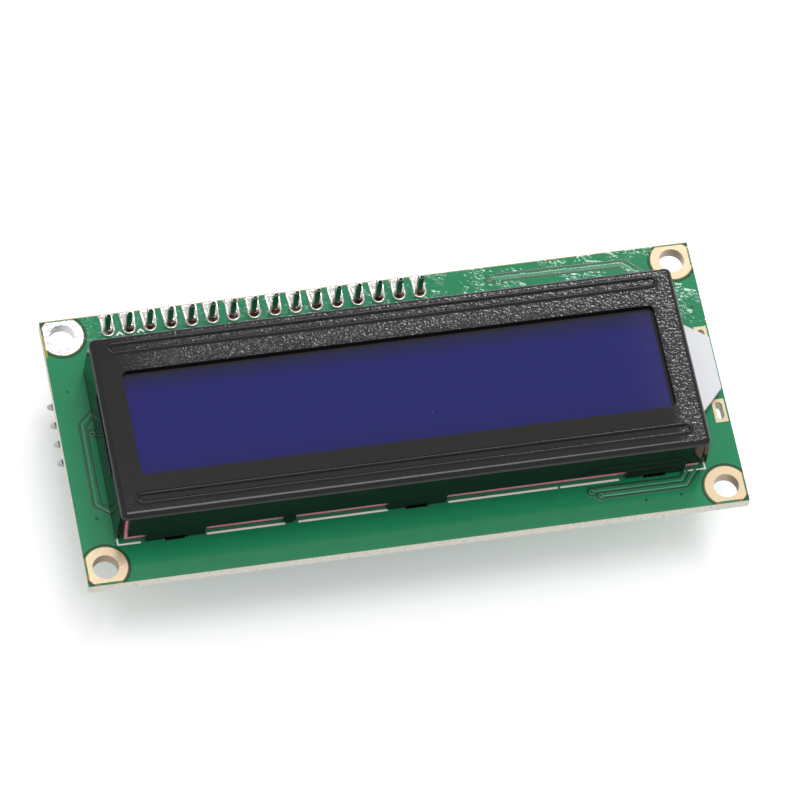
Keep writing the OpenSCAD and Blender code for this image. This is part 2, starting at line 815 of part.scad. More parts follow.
main_board();
hole_rings();
front_pads();
rear_pads();
bezel();
front_polariser();
front_glass();
rear_glass();
rear_polariser();
front_connector();
rear_connector();
diffuser();
light_guide();
backlight_tray();
backlight_led();
controller_blob();
driver_blob();
board_resistors();
board_capacitor();
header_insulator();
header_pins();
header_solder();
adapter_solder();
adapter_board();
expander_chip();
expander_leads();
trimmer_housing();
trimmer_rotor();
trimmer_pins();
serial_insulator();
serial_pins();
jumper_insulator();
jumper_pins();
jumper_cap();
jumper_contact();
power_led();
transistor();
adapter_resistors();
adapter_capacitor();
wire_pads();
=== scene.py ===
import math
import random

import bpy
from mathutils import Matrix, Vector


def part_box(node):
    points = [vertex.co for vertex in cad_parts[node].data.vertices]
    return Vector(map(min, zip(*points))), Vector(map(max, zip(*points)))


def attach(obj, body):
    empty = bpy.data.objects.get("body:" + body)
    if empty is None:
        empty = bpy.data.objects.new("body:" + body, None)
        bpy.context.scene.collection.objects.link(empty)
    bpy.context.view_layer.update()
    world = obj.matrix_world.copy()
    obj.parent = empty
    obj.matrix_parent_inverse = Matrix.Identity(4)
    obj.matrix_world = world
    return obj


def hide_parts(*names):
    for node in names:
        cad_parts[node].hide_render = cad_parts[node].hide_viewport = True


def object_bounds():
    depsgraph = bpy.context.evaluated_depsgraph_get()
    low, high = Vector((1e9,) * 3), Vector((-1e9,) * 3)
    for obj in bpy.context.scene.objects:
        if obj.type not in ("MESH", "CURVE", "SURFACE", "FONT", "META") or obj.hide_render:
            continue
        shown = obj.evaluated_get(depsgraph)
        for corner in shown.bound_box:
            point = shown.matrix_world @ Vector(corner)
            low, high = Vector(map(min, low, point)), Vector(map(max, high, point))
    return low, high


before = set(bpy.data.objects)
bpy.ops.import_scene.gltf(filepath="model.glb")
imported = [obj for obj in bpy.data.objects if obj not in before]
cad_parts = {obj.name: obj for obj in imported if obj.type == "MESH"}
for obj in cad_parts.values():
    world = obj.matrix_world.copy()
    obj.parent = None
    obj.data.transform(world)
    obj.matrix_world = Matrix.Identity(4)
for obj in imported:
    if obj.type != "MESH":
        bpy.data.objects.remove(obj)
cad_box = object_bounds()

# ---------------------------------------------------------------- sizes, in millimetres
MM = 0.001
SHEET = 0.5            # bezel sheet
BEND = 0.75            # outside radius of its folds
FIT = 0.15             # gap between the bezel and the glass
WINDOW = (64.5, 13.8)  # opening of the bezel
WINDOW_R = 0.7
WALL_LEAN = 0.35       # end walls lean out by this at the foot
FOOT_W = 7.1
FOOT_X = (-28.75, 0.25, 29.25)
WALL_GAP = 1.8         # height of the long walls' edge between the feet
TAB_W = 2.4
TAB_TWIST = 35
SLOT = (-5.7, 4.85)    # ends of the left wall's slot, from the window's middle
SLOT_H = 0.6
LIP_H = 1.8            # flared lip below it
BEAD_OFFSET = 3.1      # bead's centre line from the window
BEAD_H = 0.3
PITCH = 2.54
PIN_SIDE = 0.64
COPPER = 0.05


def corners(node):
    """Lowest and highest corner of a CAD node, in millimetres."""
    low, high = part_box(node)
    return Vector(low) / MM, Vector(high) / MM


board_low, board_high = corners("main_board")
glass_low, glass_high = corners("front_glass")
pins_low, pins_high = corners("header_pins")

# the bezel goes round the glass
rim_x = glass_high.x + FIT + SHEET
rim_y0 = glass_low.y - FIT - SHEET
rim_y1 = glass_high.y + FIT + SHEET
plate_z = corners("front_polariser")[1].z
rim_z = plate_z + SHEET
window_y = rim_y0 + 5.35 + WINDOW[1] / 2

header_y = (pins_low.y + pins_high.y) / 2
pin_xs = [pins_low.x + PIN_SIDE / 2 + PITCH * i for i in range(16)]
ring_xy = [(sx * 37.5, sy * 15.5) for sx in (-1, 1) for sy in (-1, 1)]


# ---------------------------------------------------------------- working by hand
def clear():
    """Back to object mode with nothing selected."""
    if bpy.context.object and bpy.context.object.mode != "OBJECT":
        bpy.ops.object.mode_set(mode="OBJECT")
    bpy.ops.object.select_all(action="DESELECT")


def take(piece):
    """Select one piece alone and make it the active one."""
    clear()
    piece.select_set(True)
    bpy.context.view_layer.objects.active = piece
    return piece


def settle(piece):
    """Put a piece's place, turn and size into its mesh."""
    take(piece)
    bpy.ops.object.transform_apply(location=True, rotation=True, scale=True)
    return piece


def slab(name, low, high):
    """A box from one corner to the other, as the start of a piece."""
    clear()
    low, high = Vector(low), Vector(high)
    bpy.ops.mesh.primitive_cube_add(size=1, location=(low + high) / 2 * MM, scale=(high - low) * MM)
    piece = bpy.context.object
    piece.name = name
    return settle(piece)


def pick(piece, kind, test):
    """Edit mode on the piece, with the faces, edges or corners that pass selected."""
    take(piece)
    bpy.ops.object.mode_set(mode="EDIT")
    bpy.ops.mesh.select_mode(type=kind)
    bpy.ops.mesh.select_all(action="DESELECT")
    bpy.ops.object.mode_set(mode="OBJECT")
    mesh = piece.data
    at = [v.co / MM for v in mesh.vertices]
    if kind == "FACE":
        for face in mesh.polygons:
            face.select = test(face.center / MM, face.normal)
    elif kind == "EDGE":
        for edge in mesh.edges:
            edge.select = test(at[edge.vertices[0]], at[edge.vertices[1]])
    else:
        for corner in mesh.vertices:
            corner.select = test(at[corner.index])
    bpy.ops.object.mode_set(mode="EDIT")


def shift(by):
    """Move what is selected, in millimetres."""
    bpy.ops.transform.translate(value=Vector(by) * MM)


def pull(by):
    """Extrude what is selected, in millimetres."""
    bpy.ops.mesh.extrude_region_move(TRANSFORM_OT_translate={"value": Vector(by) * MM})


def bevel(width, segments):
    """Round the selected edges."""
    bpy.ops.mesh.bevel(offset=width * MM, segments=segments, affect="EDGES", profile=0.5)


def modify(piece, kind, **settings):
    """Add a modifier to the piece and apply it."""
    take(piece)
    step = piece.modifiers.new(kind.lower(), kind)
    for key, value in settings.items():
        setattr(step, key, value)
    bpy.ops.object.modifier_apply(modifier=step.name)
    return piece


def cut(piece, cutter):
    """Take the cutter's shape out of the piece."""
    modify(piece, "BOOLEAN", operation="DIFFERENCE", object=cutter, solver="EXACT")
    bpy.data.objects.remove(cutter)
    return piece


def joined(name, parts):
    """Several meshes as one piece."""
    take(parts[0])
    for part in parts[1:]:
        part.select_set(True)
    if len(parts) > 1:
        bpy.ops.object.join()
    parts[0].name = name
    return settle(parts[0])


def smooth(piece, angle=35):
    """Round parts shade smooth, flats stay flat, corners past the angle stay sharp."""
    take(piece)
    bpy.ops.object.shade_smooth_by_angle(angle=math.radians(angle))
    return modify(piece, "WEIGHTED_NORMAL", keep_sharp=True)


def tidy_mesh(piece):
    """Merge doubled corners and turn all faces outwards."""
    take(piece)
    bpy.ops.object.mode_set(mode="EDIT")
    bpy.ops.mesh.select_all(action="SELECT")
    bpy.ops.mesh.remove_doubles(threshold=1e-6)
    bpy.ops.mesh.normals_make_consistent(inside=False)
    bpy.ops.object.mode_set(mode="OBJECT")
    return piece


def drawn(name, lines, width, height, z):
    """Lines of even width that stand a little proud of a face, from their corner points."""
    curve = bpy.data.curves.new(name, "CURVE")
    curve.dimensions = "3D"
    curve.bevel_depth = width / 2 * MM
    curve.bevel_resolution = 2
    curve.use_fill_caps = True
    for line in lines:
        closed = line[0] == line[-1] and len(line) > 2
        points = line[:-1] if closed else line
        spline = curve.splines.new("POLY")
        spline.points.add(len(points) - 1)
        spline.use_cyclic_u = closed
        for point, (x, y) in zip(spline.points, points):
            point.co = (x * MM, y * MM, 0, 1)
    piece = bpy.data.objects.new(name, curve)
    bpy.context.scene.collection.objects.link(piece)
    take(piece)
    bpy.ops.object.convert(target="MESH")
    piece = bpy.context.object
    piece.location.z = z * MM
    piece.scale.z = 2 * height / width
    piece.name = name
    return settle(piece)


def ring_line(x, y, r, steps=24):
    """Points of a closed circle."""
    turn = [2 * math.pi * i / steps for i in range(steps)]
    points = [(x + r * math.cos(t), y + r * math.sin(t)) for t in turn]
    return points + points[:1]


def trace(name, points):
    """Edit mode on an open line through the points, with all of it selected."""
    clear()
    bpy.ops.mesh.primitive_plane_add(size=MM, location=Vector(points[0]) * MM)
    piece = settle(bpy.context.object)
    piece.name = name
    bpy.ops.object.mode_set(mode="EDIT")
    bpy.ops.mesh.select_mode(type="VERT")
    bpy.ops.mesh.select_all(action="SELECT")
    bpy.ops.mesh.merge(type="CENTER")
    for here, there in zip(points, points[1:]):
        pull(Vector(there) - Vector(here))
    bpy.ops.mesh.select_all(action="SELECT")
    return piece


def turned(name, profile, at, steps=24):
    """A round piece, spun from its (radius, height) points about an upright axis."""
    piece = trace(name, [(r, 0, z) for r, z in profile])
    bpy.ops.mesh.spin(steps=steps, angle=2 * math.pi, center=(0, 0, 0), axis=(0, 0, 1))
    bpy.ops.object.mode_set(mode="OBJECT")
    piece.location = Vector(at) * MM
    settle(piece)
    return tidy_mesh(piece)


# ---------------------------------------------------------------- finishes
class Amount:
    """A number that varies over a surface, with the usual arithmetic."""

    def __init__(self, finish, socket):
        self.finish, self.socket = finish, socket

    def _with(self, operation, *others):
        node = self.finish.tree.nodes.new("ShaderNodeMath")
        node.operation = operation
        for slot, value in zip(node.inputs, (self,) + others):
            if isinstance(value, Amount):
                self.finish.tree.links.new(value.socket, slot)
            else:
                slot.default_value = value
        return Amount(self.finish, node.outputs[0])

    def __add__(self, other): return self._with("ADD", other)
    def __sub__(self, other): return self._with("SUBTRACT", other)
    def __mul__(self, other): return self._with("MULTIPLY", other)
    def __abs__(self): return self._with("ABSOLUTE")
    def most(self, other): return self._with("MAXIMUM", other)
    def power(self, other): return self._with("POWER", other)
    def repeat(self, length): return self._with("WRAP", length, 0.0)

    def ramp(self, low, high):
        """0 below low, 1 above high, smooth between; the other way round if low is over high."""
        node = self.finish.tree.nodes.new("ShaderNodeMapRange")
        node.interpolation_type = "SMOOTHSTEP"
        self.finish.tree.links.new(self.socket, node.inputs[0])
        flip = low > high
        for slot, value in zip(list(node.inputs)[1:5],
                               (high, low, 1.0, 0.0) if flip else (low, high, 0.0, 1.0)):
            slot.default_value = value
        return Amount(self.finish, node.outputs[0])


class Finish:
    """A material on one Principled shader, with helpers that vary it over the piece."""

    def __init__(self, name, colour, rough=0.5, metal=0.0, **sockets):
        self.material = bpy.data.materials.new(name)
        self.material.use_nodes = True
        self.tree = self.material.node_tree
        self.shader = self.tree.nodes["Principled BSDF"]
        self.colour = tuple(colour) + (1.0,)
        self.shader.inputs["Base Color"].default_value = self.colour
        self.shader.inputs["Roughness"].default_value = rough
        self.shader.inputs["Metallic"].default_value = metal
        for key, value in sockets.items():
            self.shader.inputs[key.replace("_", " ")].default_value = value
        coords = self.tree.nodes.new("ShaderNodeTexCoord")
        scale = self.tree.nodes.new("ShaderNodeVectorMath")
        scale.operation = "SCALE"
        scale.inputs["Scale"].default_value = 1 / MM
        self.tree.links.new(coords.outputs["Object"], scale.inputs[0])
        self.place = scale.outputs[0]
        parts = self.tree.nodes.new("ShaderNodeSeparateXYZ")
        self.tree.links.new(self.place, parts.inputs[0])
        self.x, self.y, self.z = (Amount(self, s) for s in parts.outputs)
        self.bumps = None

    def facing(self):
        """The surface's own direction, as three amounts."""
        geometry = self.tree.nodes.new("ShaderNodeNewGeometry")
        parts = self.tree.nodes.new("ShaderNodeSeparateXYZ")
        self.tree.links.new(geometry.outputs["True Normal"], parts.inputs[0])
        return [Amount(self, s) for s in parts.outputs]

    def noise(self, per_mm, detail=2.0, stretch=(1, 1, 1), rough=0.5, warp=0.0):
        """Cloudy variation with this many features to the millimetre."""
        mapping = self.tree.nodes.new("ShaderNodeMapping")
        mapping.inputs["Scale"].default_value = stretch
        self.tree.links.new(self.place, mapping.inputs[0])
        node = self.tree.nodes.new("ShaderNodeTexNoise")
        node.inputs["Scale"].default_value = per_mm
        node.inputs["Detail"].default_value = detail
        node.inputs["Roughness"].default_value = rough
        node.inputs["Distortion"].default_value = warp
        self.tree.links.new(mapping.outputs[0], node.inputs["Vector"])
        return Amount(self, node.outputs["Fac"])

    def specks(self, per_mm, size_mm, share=0.5):
        """Few small dots, scattered; the share of cells that carry one."""
        node = self.tree.nodes.new("ShaderNodeTexVoronoi")
        node.inputs["Scale"].default_value = per_mm
        self.tree.links.new(self.place, node.inputs["Vector"])
        parts = self.tree.nodes.new("ShaderNodeSeparateColor")
        self.tree.links.new(node.outputs["Color"], parts.inputs[0])
        chosen = Amount(self, parts.outputs[0]).ramp(share + 0.001, share)
        edge = size_mm * per_mm
        return Amount(self, node.outputs["Distance"]).ramp(edge, edge * 0.5) * chosen

    def away_from(self, x, y):
        """Distance in plan from an upright line."""
        dx, dy = self.x - x, self.y - y
        return (dx * dx + dy * dy).power(0.5)

    def between(self, amount, low, high, soft=0.05):
        return amount.ramp(low - soft, low + soft) * amount.ramp(high + soft, high - soft)

    def tint(self, amount, colour):
        """Blend the colour so far into another where the amount is high."""
        node = self.tree.nodes.new("ShaderNodeMix")
        node.data_type = "RGBA"
        self.tree.links.new(amount.socket, node.inputs["Factor"])
        base = self.shader.inputs["Base Color"]
        if base.is_linked:
            self.tree.links.new(base.links[0].from_socket, node.inputs[6])
        else:
            node.inputs[6].default_value = self.colour
        node.inputs[7].default_value = tuple(colour) + (1.0,)
        self.tree.links.new(node.outputs[2], base)
        return self

    def vary(self, socket, amount):
        """Drive one of the shader's numbers."""
        self.tree.links.new(amount.socket, self.shader.inputs[socket])
        return self

    def bump(self, amount, height_mm):
        """Raise the surface by up to this height where the amount is high."""
        node = self.tree.nodes.new("ShaderNodeBump")
        node.inputs["Strength"].default_value = 1.0
        node.inputs["Distance"].default_value = height_mm * MM
        self.tree.links.new(amount.socket, node.inputs["Height"])
        if self.bumps:
            self.tree.links.new(self.bumps, node.inputs["Normal"])
        self.bumps = node.outputs[0]
        self.tree.links.new(self.bumps, self.shader.inputs["Normal"])
        return self


def solder_mask(name, colour, edge, deep):
    """Glossy mask over fibreglass: coloured faces, pale sawn edges."""
    f = Finish(name, colour, rough=0.13, Specular_IOR_Level=0.5)
    weave = f.noise(0.35, 3.0)
    f.tint(weave.ramp(0.35, 0.75) * 0.5, deep)
    up = abs(f.facing()[2])
    sawn = up.ramp(0.6, 0.4)
    fibres = f.noise(2.6, 4.0, stretch=(1, 1, 3.2), rough=0.7)
    f.tint(sawn, edge)
    f.tint(sawn * fibres.ramp(0.52, 0.62) * 0.8, tuple(c * 0.45 for c in edge))
    f.tint(sawn * f.z.ramp(-0.16, -0.04), (0.30, 0.22, 0.10))
    f.bump(fibres * sawn, 0.14)
    f.bump(f.noise(3.2, 2.0) * up, 0.006)
    f.vary("Roughness", (sawn * 0.5) + 0.13)
    return f


green = (0.012, 0.245, 0.102)
board_green = solder_mask("board_green", green, (0.95, 0.92, 0.82), (0.010, 0.215, 0.088))
board_black = solder_mask("board_black", (0.012, 0.013, 0.016), (0.16, 0.14, 0.10), (0.020, 0.021, 0.025))


def margins(f):
    """Bare laminate and copper-free gaps round the rings, the header pads and the edges."""
    up = abs(f.facing()[2]).ramp(0.5, 0.7)
    for x, y in ring_xy:
        r = f.away_from(x, y)
        f.tint(f.between(r, 2.55, 3.02, 0.06) * up, (0.008, 0.085, 0.035))
        f.tint(f.between(r, 2.4, 2.69, 0.04) * up, (0.30, 0.21, 0.07))
    edge_y = f.y.ramp(board_high.y - 0.14, board_high.y - 0.06)
    f.tint(edge_y * up, (0.46, 0.36, 0.14))
    patch = f.x.ramp(board_low.x + 0.36, board_low.x + 0.28) * f.between(f.y, 12.9, 16.0, 0.2)
    f.tint(patch * up, (0.42, 0.31, 0.07))
    return f


margins(board_green)


def wrinkles(f):
    """Orange peel in the mask, strongest in patches at the board's rear right."""
    side = f.y.ramp(12.5, 14.0) * f.x.ramp(6.0, 8.0)
    side = side.most(f.x.ramp(35.4, 36.2) * f.y.ramp(4.0, 6.0))
    side = side.most(f.between(f.x, -36.5, 8.0, 1.0) * f.y.ramp(12.5, 14.0) * 0.7)
    patches = f.noise(0.42, 2.0).ramp(0.46, 0.58)
    f.bump(f.noise(1.7, 1.5, stretch=(1, 1.5, 1), warp=0.6) * side * ((patches * 0.85) + 0.15), 0.075)
    return f


wrinkles(board_green)

track_green = Finish("board_green_track", (0.030, 0.270, 0.115), rough=0.22)
track_green.tint(track_green.noise(0.8).ramp(0.4, 0.8) * 0.5, (0.018, 0.20, 0.08))
track_green.bump(track_green.noise(3.2), 0.012)
gap_green = Finish("board_green_gap", (0.006, 0.085, 0.040), rough=0.3)
gap_green.tint(gap_green.noise(0.8).ramp(0.4, 0.8) * 0.6, (0.008, 0.11, 0.05))

gold = Finish("gold_plate", (0.92, 0.74, 0.49), rough=0.15, metal=0.45)
gold.tint(gold.noise(1.6, 4.0).ramp(0.45, 0.75) * 0.35, (0.86, 0.70, 0.50))
# painted shade: the upright faces of the pads are darker and browner than their tops
gold.tint(abs(gold.facing()[2]).ramp(0.6, 0.4), (0.52, 0.40, 0.29))
gold.bump(gold.noise(6.0, 3.0), 0.006)

ring_metal = Finish("ring_gold", (0.94, 0.75, 0.49), rough=0.15, metal=0.45)
ring_metal.tint(ring_metal.noise(1.6, 4.0).ramp(0.45, 0.8) * 0.4, (0.86, 0.70, 0.50))
# painted shade: the barrels inside the holes and the rings' upright faces are darker and browner
ring_metal.tint(abs(ring_metal.facing()[2]).ramp(0.6, 0.4), (0.50, 0.38, 0.28))
tinned = ring_metal.x.ramp(-20, -25) * ring_metal.y.ramp(5, 8)
ring_metal.tint(tinned, (0.90, 0.90, 0.90))
ring_metal.bump(ring_metal.noise(1.5, 4.0, warp=1.0) * tinned, 0.12)
ring_metal.bump(ring_metal.noise(6.0, 3.0), 0.006)

tin = Finish("pin_tin", (0.78, 0.76, 0.73), rough=0.24, metal=1.0)
tin.tint(tin.noise(1.2, 3.0).ramp(0.5, 0.8) * 0.6, (0.52, 0.49, 0.45))
tin.bump(tin.noise(5.0, 3.0, stretch=(1, 1, 0.25)), 0.010)

solder = Finish("solder", (0.72, 0.71, 0.69), rough=0.26, metal=1.0)
solder.tint(solder.noise(1.7, 3.0).ramp(0.45, 0.75) * 0.5, (0.45, 0.42, 0.39))
solder.bump(solder.noise(2.5, 4.0), 0.03)

pad_solder = Finish("solder_pad", (0.72, 0.70, 0.68), rough=0.13, metal=0.75)
pad_solder.tint(pad_solder.noise(1.1, 3.0).ramp(0.5, 0.75) * 0.35, (0.50, 0.48, 0.46))
pad_solder.bump(pad_solder.noise(2.0, 4.0, stretch=(2, 0.6, 1)), 0.035)

bezel_black = Finish("bezel_black", (0.0042, 0.0040, 0.0046), rough=0.30, Specular_IOR_Level=0.5)
grain = bezel_black.noise(2.8, 1.0)
soft = bezel_black.noise(1.4, 3.0)
flat = abs(bezel_black.facing()[2]).ramp(0.2, 0.8)
far_side = bezel_black.y.ramp(4.5, 7.5) * bezel_black.x.ramp(-34.5, -27.0)
far_side = far_side.most(bezel_black.x.ramp(30.5, 33.5)) * ((soft * 0.6) + 0.7)
bezel_black.tint(soft.ramp(0.45, 0.8) * 0.6, (0.007, 0.0068, 0.0074))
bezel_black.bump(soft, 0.010)
bezel_black.bump(grain * ((flat * far_side) + 0.05), 0.045)
bezel_black.vary("Roughness", (flat * far_side * 0.05) + 0.13)

film_blue = Finish("polariser_blue", (0.004, 0.004, 0.128), rough=0.10, Specular_IOR_Level=0.5)
inset_top = (film_blue.y - (window_y + WINDOW[1] / 2)) * -1
inset_right = (film_blue.x - WINDOW[0] / 2) * -1
# painted shade: the film darkens towards the window's top edge, where the bezel shades it; it is also a
# little darker towards the bottom
film_blue.tint(inset_top.ramp(3.6, 0.5) * 0.8, (0.004, 0.004, 0.030))
film_blue.tint(inset_top.ramp(9.0, 13.8) * 0.25, (0.003, 0.003, 0.060))
# painted reflection: the film is lighter towards the window's right end
film_blue.tint(inset_right.ramp(5.0, 0.0) * 0.30, (0.040, 0.034, 0.130))
# painted shadow: a near-black band along the window's top and right edges, where the bezel casts its shadow
film_blue.tint(inset_top.ramp(0.75, 0.45), (0.0015, 0.0015, 0.004))
film_blue.tint(inset_right.ramp(0.62, 0.36), (0.0015, 0.0015, 0.004))
film_blue.bump(film_blue.noise(9.0, 2.0), 0.0035)
# painted glints: pale violet specks scattered over the film
film_blue.tint(film_blue.specks(0.32, 0.075, 0.35) * 0.7, (0.16, 0.15, 0.28))
film_blue.tint(film_blue.specks(0.9, 0.05, 0.12) * 0.6, (0.13, 0.12, 0.26))

glass = Finish("display_glass", (0.30, 0.34, 0.50), rough=0.06)
glass.tint(glass.noise(0.6, 2.0).ramp(0.4, 0.7) * 0.5, (0.22, 0.26, 0.42))

pink = Finish("connector_pink", (1.0, 0.36, 0.46), rough=0.6, Specular_IOR_Level=0.3)
pink.tint(pink.between(pink.z.repeat(0.9), 0.30, 0.42, 0.05) * 0.3, (0.80, 0.25, 0.33))
pink.tint(pink.noise(1.5, 3.0).ramp(0.4, 0.8) * 0.5, (1.0, 0.46, 0.54))
pink.bump(pink.noise(5.0, 2.0), 0.02)

white_moulding = Finish("tray_white", (0.74, 0.755, 0.79), rough=0.30)
white_moulding.tint(white_moulding.noise(0.25, 3.0).ramp(0.4, 0.75) * 0.4, (0.69, 0.71, 0.75))
# painted shade: the tray's upright faces are darker than its top
white_moulding.tint(abs(white_moulding.facing()[2]).ramp(0.6, 0.4), (0.42, 0.43, 0.44))
white_moulding.bump(white_moulding.noise(3.0, 2.0), 0.006)

film_white = Finish("diffuser_white", (0.88, 0.88, 0.88), rough=0.55)
film_white.tint(film_white.noise(0.8).ramp(0.4, 0.8) * 0.3, (0.80, 0.81, 0.82))
clear_plastic = Finish("guide_clear", (0.78, 0.84, 0.88), rough=0.08)
clear_plastic.tint(clear_plastic.noise(0.8).ramp(0.4, 0.8) * 0.3, (0.70, 0.78, 0.83))
lamp = Finish("lamp_yellow", (0.88, 0.84, 0.50), rough=0.25)
lamp.tint(lamp.between(lamp.y.repeat(3.0), 0.4, 0.9, 0.1), (0.92, 0.92, 0.90))

resin = Finish("resin_black", (0.010, 0.010, 0.011), rough=0.10)
resin.tint(resin.noise(0.7, 3.0).ramp(0.5, 0.8) * 0.7, (0.020, 0.019, 0.018))
resin.bump(resin.noise(0.8, 3.0), 0.10)

ceramic_black = Finish("resistor_black", (0.015, 0.015, 0.018), rough=0.25)
ceramic_tan = Finish("capacitor_tan", (0.36, 0.24, 0.13), rough=0.45)

moulding = Finish("moulding_black", (0.014, 0.014, 0.015), rough=0.42)
moulding.tint(moulding.noise(1.4, 3.0).ramp(0.5, 0.8) * 0.6, (0.024, 0.024, 0.025))
moulding.bump(moulding.noise(9.0, 2.0), 0.012)
chip = Finish("chip_black", (0.018, 0.018, 0.020), rough=0.48)
chip.tint(chip.noise(1.4, 3.0).ramp(0.5, 0.8) * 0.5, (0.030, 0.030, 0.032))
chip.bump(chip.noise(12.0, 2.0), 0.010)

blue_moulding = Finish("trimmer_blue", (0.020, 0.100, 0.52), rough=0.28)
blue_moulding.tint(blue_moulding.noise(0.9, 3.0).ramp(0.45, 0.8) * 0.5, (0.014, 0.075, 0.42))
blue_moulding.bump(blue_moulding.noise(6.0, 2.0), 0.008)
rotor_white = Finish("rotor_white", (0.82, 0.81, 0.76), rough=0.4)
rotor_white.tint(rotor_white.noise(1.5, 3.0).ramp(0.45, 0.8) * 0.5, (0.72, 0.70, 0.64))
rotor_white.bump(rotor_white.noise(6.0, 2.0), 0.01)
led = Finish("led_clear", (0.86, 0.82, 0.62), rough=0.15)
led.tint(led.noise(2.0).ramp(0.4, 0.7) * 0.5, (0.92, 0.90, 0.80))

ink = Finish("board_ink", (0.98, 1.0, 0.99), rough=0.55)
ink.tint(ink.noise(3.0, 3.0).ramp(0.6, 0.8) * 0.5, (0.66, 0.80, 0.70))

# tan patches on the inner face of the right end wall, near the front
right_wall_tan = (0.24, 0.18, 0.11)
inner = bezel_black.between(bezel_black.y, rim_y0 + 0.2, rim_y0 + 2.3, 0.15)
inner = inner * (bezel_black.facing()[0] * -1).ramp(0.3, 0.7) * bezel_black.x.ramp(34.0, 34.5)
bezel_black.tint(inner * bezel_black.noise(1.5, 3.0).ramp(0.32, 0.5), right_wall_tan)


def finish_piece(piece, material, slot, body="module", *nodes):
    """Last touches: material, body, and the CAD nodes it stands for; slot is not used."""
    piece.data.materials.clear()
    piece.data.materials.append(material.material)
    if nodes:
        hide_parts(*nodes)
    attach(piece, body)
    return piece


def recolour(node, material):
    """A CAD node keeps its shape and takes a better material."""
    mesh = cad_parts[node].data
    mesh.materials.clear()
    mesh.materials.append(material.material)


for node, material in {
    "main_board": board_green, "hole_rings": ring_metal, "front_pads": gold, "rear_pads": gold,
    "front_polariser": film_blue, "front_glass": glass, "rear_glass": glass,
    "rear_polariser": film_blue, "front_connector": pink, "rear_connector": pink,
    "diffuser": film_white, "light_guide": clear_plastic, "backlight_tray": white_moulding,
    "backlight_led": lamp, "controller_blob": resin, "driver_blob": resin,
    "board_resistors": ceramic_black, "board_capacitor": ceramic_tan,
    "header_insulator": moulding, "header_pins": tin, "header_solder": solder,
    "adapter_solder": solder, "adapter_board": board_black, "expander_chip": chip,
    "expander_leads": tin, "trimmer_housing": blue_moulding, "trimmer_rotor": rotor_white,
    "trimmer_pins": tin, "serial_insulator": moulding, "serial_pins": tin,
    "jumper_insulator": moulding, "jumper_pins": tin, "jumper_cap": moulding,
    "jumper_contact": gold, "power_led": led, "transistor": chip,
    "adapter_resistors": ceramic_black, "adapter_capacitor": ceramic_tan, "wire_pads": gold,
}.items():
    recolour(node, material)


